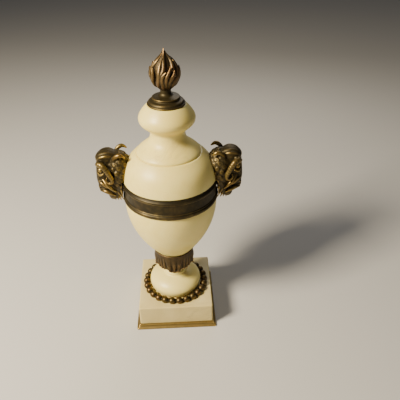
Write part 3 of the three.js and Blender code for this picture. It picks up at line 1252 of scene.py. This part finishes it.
@dataclass
class Cover:
    """The marble lid with its knop, the turned bronze finial and its flame."""

    lid: Span = measured("lid")
    base: Span = measured("finial_base")
    flame: Span = measured("flame")
    seat: float = 204.0
    spigot: float = 19.5
    neck: float = 16.6
    knop: float = 26.3
    neck_rise: float = 3.9
    tips: tuple[float, ...] = (
        24.5, 20.5, 27.5, 22.0, 18.0, 28.5, 23.0, 26.0, 19.5, 25.0, 21.5, 27.0, 22.5, 29.5, 20.0
    )  # fmt: skip
    inner_tongues: int = 6
    twist: float = 0.42
    flame_pitch: float = 0.36

    def build(self, shop: Workshop) -> None:
        """Makes the three pieces.

        Args:
            shop: Where they are finished.
        """
        shop.raise_piece("marble_lid", turned(self.lid_path(), 192), "lid", Finish.MARBLE)
        base = turned(self.base_path(), 192)
        shop.raise_piece("finial_turning", base, "finial_base", Finish.GILT, (10, 0.4))
        shop.raise_piece("finial_flame", self.flame_shell(), "flame", Finish.COPPERY, (26, 0.7))

    def lid_path(self) -> Array:
        """A lid that draws in to a waist and swells again to a cushion-shaped knop.

        Returns:
            The half section's points.
        """
        z, top, r = self.lid.foot, self.lid.top, self.lid.reach
        path = Outline(0, z).line(self.spigot, z, 0.3).line(self.spigot, self.seat)
        path.line(r - 0.15, self.seat, 0.15).line(r, self.seat + 1.0, 0.5)
        path.line(r - 0.4, self.seat + 2, 0.9)
        path.bend((24.1, 213.3), (self.neck, 213.9), (self.neck, 224.2), steps=48)
        path.bend((self.neck, 230.1), (self.knop, 231.4), (self.knop, 238), steps=40)
        path.bend((self.knop + 1.1, 242.4), (18.9, top - 0.4), (17.8, top), steps=36)
        return path.line(0, top).drawn()

    def base_path(self) -> Array:
        """A stack of a wide disc, a cove, a ring and a neck that flares under the flame.

        Returns:
            The half section's points.
        """
        z, top, r = self.base.foot, self.base.top, self.base.reach
        path = Outline(0, z).line(r - 0.7, z, 0.2)
        path.bend((r + 0.2, z + 0.6), (r + 0.2, z + 1.6), (r - 1, z + 2.0), steps=12)
        path.line(r - 1.2, z + 2.7, 0.2)
        path.bend((r - 2.2, z + 4.8), (r - 4, z + 4.0), (r - 5.2, z + 5.6), steps=16, ease=0.2)
        path.bend((12.9, z + 6.0), (12.9, z + 7.0), (12.2, z + 7.3), steps=8)
        path.line(10.9, z + 7.6, 0.2).line(7.4, z + 8.2, 0.3)
        path.bend((6.2, z + 8.6), (5.2, z + 9.4), (4.9, z + 10.8), steps=12)
        return path.line(4.7, top + self.neck_rise).line(0, top + self.neck_rise).drawn()

    def radius_at(self, height: Array) -> Array:
        """The flame's outside radius at heights over its foot.

        It opens fast over the neck, is fullest a little under half way up, and then closes in to
        the point, nearly straight.

        Args:
            height: The heights in millimetres.

        Returns:
            The radius at each.
        """
        low = (3.2, 4.2, 5.2, 6.4, 8.9, 11.4, 13.9, 16.3)
        high = (18.7, 21.0, 23.4, 25.7, 28.0, 30.2, 32.5, 37.4)
        opening = (4.0, 6.6, 8.6, 9.9, 11.6, 13.0, 13.6, 13.6)
        closing = (13.1, 12.0, 10.5, 8.8, 6.6, 4.2, 2.3, 0.2)
        return np.interp(height, low + high, opening + closing)

    def tongue(self, turn: float, foot: float, tip: float, stout: float, flick: float) -> Strand:
        """One tongue of flame, which leans round the flame as it rises.

        Args:
            turn: Where it starts round the flame, in radians.
            foot: Its lowest height over the flame's foot.
            tip: Its highest height over the flame's foot.
            stout: Its thickness at its middle.
            flick: How far its tip turns outwards.

        Returns:
            The tongue, in the vessel's space.
        """
        share = np.linspace(0, 1, 8)
        height = foot + (tip - foot) * share
        thick = stout * np.array([0.75, 0.95, 1.05, 1.0, 0.88, 0.7, 0.45, 0.14])
        angle = turn + self.twist * (height - 3.0) / 20 + 0.10 * np.sin(TAU * share + 3 * turn)
        radius = np.maximum(self.radius_at(height) - 0.85 * thick, 0.0) + flick * share**5
        route = np.stack(
            [radius * np.cos(angle), radius * np.sin(angle), self.flame.foot + height], -1
        )
        route[:, 2] = np.minimum(route[:, 2], self.flame.top - 0.4)
        return Strand([tuple(p) for p in route], tuple(thick), ease=0.35, steps=22)

    def flame_shell(self) -> Shell:
        """Tongues of flame in two layers round a core.

        The inner ones run together into the point, and the outer ones stop at different heights
        with their tips turned out.

        Returns:
            Its closed surface.
        """
        z = self.flame.foot
        forms: list[Form] = [
            Strand(
                [(0, 0, z + h) for h in (1.6, 4, 7, 12, 18, 24, 30, 35)],
                (3.6, 4.2, 7.4, 10.4, 10.2, 6.8, 3.0, 0.5),
                ease=0.5,
            )
        ]
        for i in range(self.inner_tongues):
            turn = TAU * i / self.inner_tongues - math.pi / 2 - 0.2
            forms.append(self.tongue(turn - 0.35, 16.0, (37.0, 34.6, 33.0)[i % 3], 1.7, 0.0))
        for i, tip in enumerate(self.tips):
            turn = TAU * i / len(self.tips) - math.pi / 2 + 0.14 * math.sin(5.0 * i)
            forms.append(self.tongue(turn, 3.4 + 0.5 * (i % 2), tip, 2.05 + 0.3 * (i % 3), 1.3))
        level = z + 0.02

        def foot(places: Array) -> Array:
            """Keeps the flame above its foot."""
            return level - places[:, 2]

        return Carving(forms, foot).surface(self.flame_pitch)


# ---- The heads ----


@dataclass
class RamHeads:
    """Two rams' heads that look away from the vessel, each cast in one with its wool and horns.

    The head is made on the right of the vessel, and the left one is the same head turned half
    round. A form for one side of a head takes s, 1 for +Y and -1 for -Y.
    """

    vessel: Vessel
    clearance: float = 0.45
    pitch: float = 0.42
    neck: Point = (49.0, 0.0, 184.0)
    neck_radii: Point = (12.4, 14.4, 20.0)
    curls: int = 104

    def build(self, shop: Workshop) -> None:
        """Makes both heads.

        Args:
            shop: Where they are finished.
        """
        head = self.head_shell()
        for side in Side:
            name = f"ram_head_{side.name.lower()}"
            shell = head.turned_about_z(0.0 if side is Side.RIGHT else math.pi)
            shop.raise_piece(f"{name}_bronze", shell, name, Finish.GILT, (30, 0.75))

    def forms(self) -> list[Form]:
        """The head's forms, in the order they are joined.

        Returns:
            The forms of one head.
        """
        forms: list[Form] = [
            Ball(self.neck, self.neck_radii, ease=1),
            Ball((48.5, 0, 170), (9.5, 10.5, 14), ease=3),
            Ball((60, 0, 190), (11, 10.2, 15), tilt=-0.06, ease=3),
            Ball((60.2, 0, 200.2), (10.6, 9.8, 7.0), tilt=0.16, ease=1.6),
            Ball((65.0, 0, 177.5), (7.3, 7.0, 14), tilt=-0.03, ease=4),
            Ball((63.6, 0, 168.0), (8.6, 6.6, 6.4), tilt=0.4, ease=2),
            Ball((55.0, 0, 162), (7.0, 7.6, 11.5), tilt=-0.45, ease=2),
        ]
        forms += self.wool()
        for s in (1.0, -1.0):
            forms += self.forelock(s) + self.face(s) + self.beard(s)
            forms += [self.horn_form(s), self.ear_form(s)]
        return forms

    def forelock(self, s: float) -> list[Form]:
        """Flat locks that lie forward over the crown, as low ridges.

        Args:
            s: The side, 1 for +Y and -1 for -Y.

        Returns:
            The locks.
        """
        locks: list[Form] = []
        for i in range(3):
            y, lift = s * (1.6 + 2.9 * i), -0.5 * i**2
            route = [
                (52.5, y * 0.9, 204.0 + lift),
                (58.5, y * 1.15, 206.0 + lift),
                (64.5, y * 1.05, 204.6 + lift),
                (69.0 - 0.5 * i, y * 0.8, 200.2 + 0.5 * lift),
            ]
            locks.append(Strand(route, (0.5, 1.2, 1.2, 0.5), ease=2.0))
        return locks

    def face(self, s: float) -> list[Form]:
        """Brow, eye, cheek, nostril and lips on one side, in the order they are carved.

        Args:
            s: The side, 1 for +Y and -1 for -Y.

        Returns:
            The features.
        """
        groove = [(68, 9, 198.6), (63.4, 11.4, 198.4), (58.2, 12.6, 193.8), (55.4, 13, 188.6)]
        brow = [(70.0, 2.6, 193.0), (68.6, 6.6, 194.6), (65.6, 9.8, 193.0)]
        lid = [(69.4, 5.4, 185.0), (67.0, 8.0, 183.8), (63.6, 9.6, 185.6)]
        cheek = [(65.0, 9.0, 179.6), (61.4, 12.0, 175.6), (57.6, 12.8, 171.6), (53.6, 12.0, 167.2)]
        muzzle = [(69.6, 5.2, 175.6), (66.2, 8.2, 174.4), (62.0, 9.6, 171.6), (58, 9.4, 168.4)]
        mouth = [(71.4, 1.0, 166.0), (67.6, 6.2, 168.2), (62.2, 8.0, 167.6), (57.4, 8.4, 164.0)]
        lip = [(69.0, 3.4, 164.0), (64.6, 7.0, 164.8), (60.2, 8.2, 163.2), (55.6, 7.8, 160.0)]
        return [
            Strand(sided(groove, s), (0.9, 1.5, 1.5, 1.0), ease=0.6, cut=True),
            Ball((68.2, s * 8.2, 188.4), (4.4, 4.2, 5.2), ease=1.2, cut=True),
            Ball((66.0, s * 6.6, 188.6), (2.7, 2.5, 2.6), ease=0.3),
            Strand(sided(brow, s), (1.3, 1.9, 1.2), ease=0.8),
            Strand(sided(lid, s), (0.8, 1.3, 0.8), ease=0.7),
            Ball((67.4, s * 8.4, 179.2), (3.4, 2.8, 2.8), ease=1.0, cut=True),
            Strand(sided(cheek, s), (0.7, 1.5, 1.8, 1.0), ease=0.7),
            Strand(sided(muzzle, s), (0.9, 1.4, 1.5, 0.7), ease=0.7),
            Strand(sided(mouth, s), (0.8, 1.0, 1.1, 0.8), ease=0.5, cut=True),
            Strand(sided(lip, s), (1.4, 2.0, 2.0, 1.0), ease=0.7),
            Ball((71.4, s * 3.4, 170.6), (1.7, 1.4, 2.2), tilt=0.5, ease=0.8, cut=True),
        ]

    def horn_form(self, s: float) -> Form:
        """The horn, which springs from the crown, bows back round the cheek and ends in a curl.

        Args:
            s: The side, 1 for +Y and -1 for -Y.

        Returns:
            The horn.
        """
        route = [
            (62.6, 7.0, 198.6),
            (66.4, 11.0, 197.8),
            (62.8, 14.2, 197.2),
            (59.4, 15.4, 192.8),
            (57.0, 15.8, 188.0),
            (55.0, 15.8, 183.6),
            (55.2, 15.2, 179.8),
            (58.0, 14.6, 178.2),
            (60.6, 14.0, 180.2),
            (60.4, 13.4, 183.2),
        ]
        thick = (2.4, 2.6, 2.7, 2.5, 2.3, 2.0, 1.7, 1.4, 1.1, 0.6)
        return Strand(sided(route, s), thick, ease=0.3, rings=0.03, steps=50)

    def ear_form(self, s: float) -> Form:
        """The ear, laid back over the wool behind the horn.

        Args:
            s: The side, 1 for +Y and -1 for -Y.

        Returns:
            The ear.
        """
        route = [(54, 7.6, 196), (51.8, 9.2, 201.6), (48.6, 10.2, 204.8)]
        route += [(45.2, 10.8, 205.6), (41.6, 10.8, 203.4)]
        return Strand(sided(route, s), (1.2, 1.8, 2.1, 1.8, 0.7), ease=1.2)

    def wool(self) -> list[Form]:
        """Curls of wool over the neck: flat balls set in the skin, each with a spiral in relief.

        Their places go down the neck's ball in equal steps, a golden turn apart. Those inside the
        vessel are left out.

        Returns:
            The curls.
        """
        forms: list[Form] = []
        centre, radii = np.array(self.neck), np.array(self.neck_radii)
        k = np.arange(self.curls) + 0.5
        up = 1 - 2 * k / self.curls
        turn = k * GOLDEN_TURN
        flat = np.sqrt(1 - up**2)
        ways = np.stack([flat * np.cos(turn), flat * np.sin(turn), up], -1)
        for way in ways:
            place = centre + way * radii
            normal = way / radii
            normal /= np.linalg.norm(normal)
            skin = float(self.vessel.skin(np.array([place[2]]))[0])
            if math.hypot(place[0], place[1]) < skin - 1.5:
                continue
            forms.append(
                Ball(
                    tuple(place),
                    (1.35, 2.6 + 0.5 * math.sin(7.0 * way[2] + 3.0 * way[1]), 2.8),
                    tilt=-math.asin(normal[2]),
                    turn=math.atan2(normal[1], normal[0]),
                    ease=1.7,
                    relief=curl_relief,
                )
            )
        return forms

    def beard(self, s: float) -> list[Form]:
        """Long locks that hang from the jaw and the neck, and draw together as they fall.

        Args:
            s: The side, 1 for +Y and -1 for -Y.

        Returns:
            The locks.
        """
        forms: list[Form] = []
        for i in range(6):
            lean = 0.5 * math.sin(2.4 * i)
            x, y = 61.0 - 3.0 * i, s * (1.4 + 2.1 * i)
            top = 165.0 + 1.8 * i
            forms.append(
                Strand(
                    [
                        (x, y, top),
                        (x - 1.2 + lean, y * 1.05, top - 6),
                        (x - 3.0 - lean, y * 0.95, 157.0 + 0.5 * i),
                        (x - 4.6, y * 0.7, 149.8 + 1.0 * i),
                    ],
                    (1.0, 1.7, 1.5, 0.4),
                    ease=0.4,
                )
            )
        return forms

    def head_shell(self) -> Shell:
        """The head's skin, cut back to stand clear of the vessel.

        Returns:
            Its closed surface.
        """
        low = Span.of("ram_head_right")

        def clear(places: Array) -> Array:
            """Keeps the head off the vessel's skin, and within its own heights and reach."""
            away = np.hypot(places[:, 0], places[:, 1])
            off = 0.85 * (self.vessel.skin(places[:, 2]) + self.clearance - away)
            return np.maximum(off, np.maximum(low.foot - places[:, 2], places[:, 0] - low.reach))

        return Carving(self.forms(), clear).surface(self.pitch)


def curl_relief(local: Array) -> Array:
    """A spiral groove about the local X axis: a cosine of the turn plus the distance from the axis.

    Args:
        local: Places in the curl's own space.

    Returns:
        The height of the relief at each place.
    """
    away = np.hypot(local[:, 1], local[:, 2])
    turn = np.arctan2(local[:, 2], local[:, 1])
    return 0.13 * np.cos(turn + TAU * away / 2.6) * np.clip(away / 1.2, 0, 1)


# ---- The studio ----


def standing(x: Array, y: Array, place: Sequence[float]) -> Matrix:
    """The pose of a camera or lamp, which looks down its own Z axis.

    Args:
        x: Its X axis.
        y: Its Y axis, square to X.
        place: Its place in millimetres.

    Returns:
        The pose, whose Z axis is the cross product of X and Y.
    """
    matrix = np.eye(4)
    matrix[:3, :3] = np.stack([x, y, np.cross(x, y)], -1)
    matrix[:3, 3] = np.array(place) * MM
    return Matrix(matrix.tolist())


@dataclass(frozen=True)
class Lamp:
    """A square soft light: its place and side in millimetres, its power in watts and its colour."""

    name: str
    place: Point
    side: float
    power: float
    colour: Colour


@dataclass
class Studio:
    """A pale floor, soft lights, and the camera, which looks square to its right and its up."""

    eye: Point = (12.1, -369.4, 397.4)
    right: Point = (0.9986, -0.0519, -0.0064)
    up: Point = (0.0345, 0.5622, 0.8263)
    lens: float = 38.7
    sensor: float = 36.0
    aim: Point = (0.0, 0.0, 150.0)
    floor_half: float = 4.0
    sky_strength: float = 0.07
    lamps: tuple[Lamp, ...] = (
        Lamp("key", (-670, -380, 760), 260, 28.0, (1.0, 0.87, 0.64)),
        Lamp("fill", (560, -640, 420), 500, 0.35, (1.0, 0.94, 0.84)),
        Lamp("rim", (150, 620, 640), 400, 1.6, (1.0, 0.94, 0.84)),
    )

    def build(self) -> None:
        """Makes the camera, the floor, the sky and the lights."""
        self.camera()
        self.floor()
        self.sky()
        for lamp in self.lamps:
            self.hang(lamp)

    def camera(self) -> None:
        """Sets the camera by its own axes."""
        data = bpy.data.cameras.new("studio_camera")
        data.lens, data.sensor_width = self.lens, self.sensor
        data.clip_start, data.clip_end = 0.01, 50.0
        x, y = np.array(self.right), np.array(self.up)
        x = x / np.linalg.norm(x)
        z = np.cross(x, y)
        z = z / np.linalg.norm(z)
        camera = added("studio_camera", data)
        camera.matrix_world = standing(x, np.cross(z, x), self.eye)
        bpy.context.scene.camera = camera

    def floor(self) -> None:
        """A wide pale sheet at the height of the urn's underside."""
        mesh = bpy.data.meshes.new("floor")
        half = self.floor_half
        corners = [(-half, -half, 0), (half, -half, 0), (half, half, 0), (-half, half, 0)]
        mesh.from_pydata(corners, [], [(0, 1, 2, 3)])
        sheet = NodeSheet("floor")
        sheet.set(Base_Color=(0.56, 0.55, 0.54, 1.0), Roughness=0.8)
        mesh.materials.append(sheet.material)
        added("floor", mesh)

    def sky(self) -> None:
        """An even, weak light from all round."""
        world = bpy.data.worlds.new("studio")
        world.use_nodes = True
        background = world.node_tree.nodes["Background"]
        background.inputs["Color"].default_value = (0.93, 0.95, 1.0, 1.0)
        background.inputs["Strength"].default_value = self.sky_strength
        bpy.context.scene.world = world

    def hang(self, lamp: Lamp) -> None:
        """Hangs a lamp that faces the vessel.

        Args:
            lamp: What to hang, and where.
        """
        data = bpy.data.lights.new(lamp.name, "AREA")
        data.shape, data.size = "SQUARE", lamp.side * MM
        data.energy, data.color = lamp.power, lamp.colour
        light = added(lamp.name, data)
        z = np.array(lamp.place) - np.array(self.aim)
        z = z / np.linalg.norm(z)
        x = np.cross([0.0, 0.0, 1.0], z)
        x = x / np.linalg.norm(x)
        light.matrix_world = standing(x, np.cross(z, x), lamp.place)


def main() -> None:
    """Builds the urn from its foot up, then the studio, and notes the sizes."""
    logging.basicConfig(level=logging.INFO, format="%(name)s %(message)s")
    shop = Workshop()
    Studio().build()
    vessel = Vessel()
    Pedestal().build(shop)
    vessel.build(shop)
    Cover().build(shop)
    RamHeads(vessel).build(shop)


if __name__ == "__main__":
    main()
